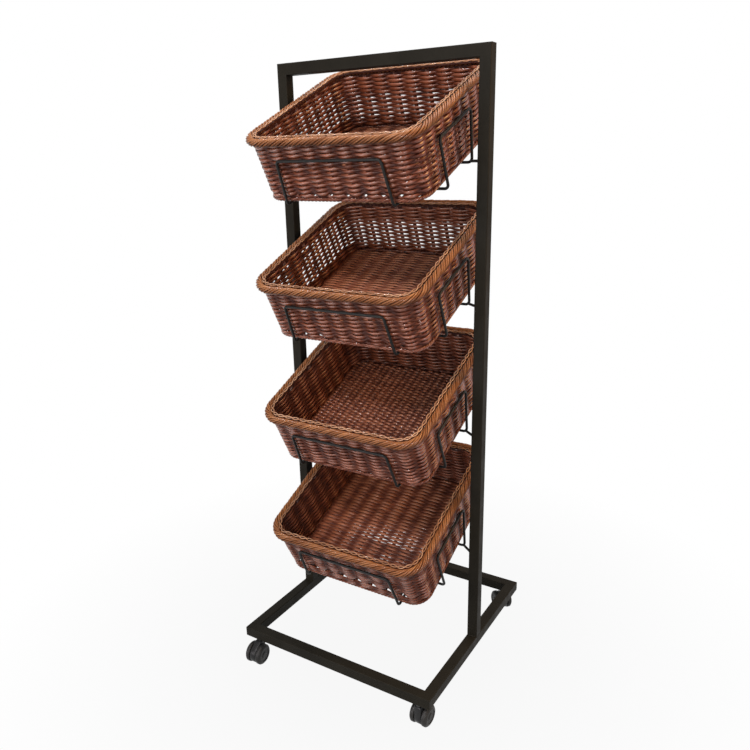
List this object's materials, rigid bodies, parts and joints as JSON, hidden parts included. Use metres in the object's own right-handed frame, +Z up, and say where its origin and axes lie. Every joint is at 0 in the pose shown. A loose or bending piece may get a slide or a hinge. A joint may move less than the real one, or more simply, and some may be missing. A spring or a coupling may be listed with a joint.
{
  "type": "basket display stand",
  "caption": "Rolling square-tube stand that shows goods in forward-tilted wicker baskets held one above another in wire cradles.",
  "frame": {"origin": "on the floor, under the middle of the base and of the two posts", "axes": "+X to the right as seen from the front, +Y to the back, +Z up; the baskets tip down towards -Y"},
  "size_m": [0.52, 0.5754, 1.4194],
  "materials": {
    "frame_black": "satin black powder coat on steel tube",
    "wire_black": "satin black powder coat on steel wire",
    "caster_black": "moulded black nylon",
    "caster_steel": "blackened steel",
    "wicker_brown": "varnished dark red-brown woven cane",
    "wicker_rim": "varnished honey-brown braided cane"
  },
  "bodies": {
    "stand": {"base_front_rail": "frame_black", "base_rear_rail": "frame_black", "base_left_rail": "frame_black", "base_right_rail": "frame_black", "left_post": "frame_black", "right_post": "frame_black", "top_bar": "frame_black", "front_guard_1": "wire_black", "left_guard_1": "wire_black", "right_guard_1": "wire_black", "left_stay_1": "wire_black", "right_stay_1": "wire_black", "front_guard_2": "wire_black", "left_guard_2": "wire_black", "right_guard_2": "wire_black", "left_stay_2": "wire_black", "right_stay_2": "wire_black", "front_guard_3": "wire_black", "left_guard_3": "wire_black", "right_guard_3": "wire_black", "left_stay_3": "wire_black", "right_stay_3": "wire_black", "front_guard_4": "wire_black", "left_guard_4": "wire_black", "right_guard_4": "wire_black", "left_stay_4": "wire_black", "right_stay_4": "wire_black", "caster_stems": "caster_steel", "caster_sockets": "caster_steel"},
    "caster_front_left": {"caster_front_left_housing": "caster_black", "caster_front_left_axle": "caster_steel"},
    "caster_front_left_wheel_left": {"caster_front_left_wheel_left": "caster_black"},
    "caster_front_left_wheel_right": {"caster_front_left_wheel_right": "caster_black"},
    "caster_front_right": {"caster_front_right_housing": "caster_black", "caster_front_right_axle": "caster_steel"},
    "caster_front_right_wheel_left": {"caster_front_right_wheel_left": "caster_black"},
    "caster_front_right_wheel_right": {"caster_front_right_wheel_right": "caster_black"},
    "caster_rear_left": {"caster_rear_left_housing": "caster_black", "caster_rear_left_axle": "caster_steel"},
    "caster_rear_left_wheel_left": {"caster_rear_left_wheel_left": "caster_black"},
    "caster_rear_left_wheel_right": {"caster_rear_left_wheel_right": "caster_black"},
    "caster_rear_right": {"caster_rear_right_housing": "caster_black", "caster_rear_right_axle": "caster_steel"},
    "caster_rear_right_wheel_left": {"caster_rear_right_wheel_left": "caster_black"},
    "caster_rear_right_wheel_right": {"caster_rear_right_wheel_right": "caster_black"},
    "basket_1": {"basket_1_body": "wicker_brown", "basket_1_rim": "wicker_rim"},
    "basket_2": {"basket_2_body": "wicker_brown", "basket_2_rim": "wicker_rim"},
    "basket_3": {"basket_3_body": "wicker_brown", "basket_3_rim": "wicker_rim"},
    "basket_4": {"basket_4_body": "wicker_brown", "basket_4_rim": "wicker_rim"}
  },
  "joints": [
    {"name": "caster_front_left_swivel", "type": "hinge", "parent": "stand", "child": "caster_front_left", "pos_m": [-0.228, -0.2488, 0.0557], "axis": [0, 0, 1], "continuous": true},
    {"name": "caster_front_left_wheel_left_roll", "type": "hinge", "parent": "caster_front_left", "child": "caster_front_left_wheel_left", "pos_m": [-0.22732, -0.26178, 0.025], "axis": [-0.9986, -0.0523, 0], "continuous": true},
    {"name": "caster_front_left_wheel_right_roll", "type": "hinge", "parent": "caster_front_left", "child": "caster_front_left_wheel_right", "pos_m": [-0.22732, -0.26178, 0.025], "axis": [-0.9986, -0.0523, 0], "continuous": true},
    {"name": "caster_front_right_swivel", "type": "hinge", "parent": "stand", "child": "caster_front_right", "pos_m": [0.228, -0.2488, 0.0557], "axis": [0, 0, 1], "continuous": true},
    {"name": "caster_front_right_wheel_left_roll", "type": "hinge", "parent": "caster_front_right", "child": "caster_front_right_wheel_left", "pos_m": [0.22868, -0.23582, 0.025], "axis": [0.9986, -0.0523, 0], "continuous": true},
    {"name": "caster_front_right_wheel_right_roll", "type": "hinge", "parent": "caster_front_right", "child": "caster_front_right_wheel_right", "pos_m": [0.22868, -0.23582, 0.025], "axis": [0.9986, -0.0523, 0], "continuous": true},
    {"name": "caster_rear_left_swivel", "type": "hinge", "parent": "stand", "child": "caster_rear_left", "pos_m": [-0.228, 0.2488, 0.0557], "axis": [0, 0, 1], "continuous": true},
    {"name": "caster_rear_left_wheel_left_roll", "type": "hinge", "parent": "caster_rear_left", "child": "caster_rear_left_wheel_left", "pos_m": [-0.22732, 0.26178, 0.025], "axis": [0.9986, -0.0523, 0], "continuous": true},
    {"name": "caster_rear_left_wheel_right_roll", "type": "hinge", "parent": "caster_rear_left", "child": "caster_rear_left_wheel_right", "pos_m": [-0.22732, 0.26178, 0.025], "axis": [0.9986, -0.0523, 0], "continuous": true},
    {"name": "caster_rear_right_swivel", "type": "hinge", "parent": "stand", "child": "caster_rear_right", "pos_m": [0.228, 0.2488, 0.0557], "axis": [0, 0, 1], "continuous": true},
    {"name": "caster_rear_right_wheel_left_roll", "type": "hinge", "parent": "caster_rear_right", "child": "caster_rear_right_wheel_left", "pos_m": [0.21804, 0.25716, 0.025], "axis": [0.6428, 0.766, 0], "continuous": true},
    {"name": "caster_rear_right_wheel_right_roll", "type": "hinge", "parent": "caster_rear_right", "child": "caster_rear_right_wheel_right", "pos_m": [0.21804, 0.25716, 0.025], "axis": [0.6428, 0.766, 0], "continuous": true},
    {"name": "basket_1_lift_out", "type": "slide", "parent": "stand", "child": "basket_1", "axis": [0, 0.9135, 0.4067], "range_m": [0, 0.42]},
    {"name": "basket_2_lift_out", "type": "slide", "parent": "stand", "child": "basket_2", "axis": [0, 0.9135, 0.4067], "range_m": [0, 0.42]},
    {"name": "basket_3_lift_out", "type": "slide", "parent": "stand", "child": "basket_3", "axis": [0, 0.9135, 0.4067], "range_m": [0, 0.42]},
    {"name": "basket_4_lift_out", "type": "slide", "parent": "stand", "child": "basket_4", "axis": [0, 0.9135, 0.4067], "range_m": [0, 0.42]}
  ]
}
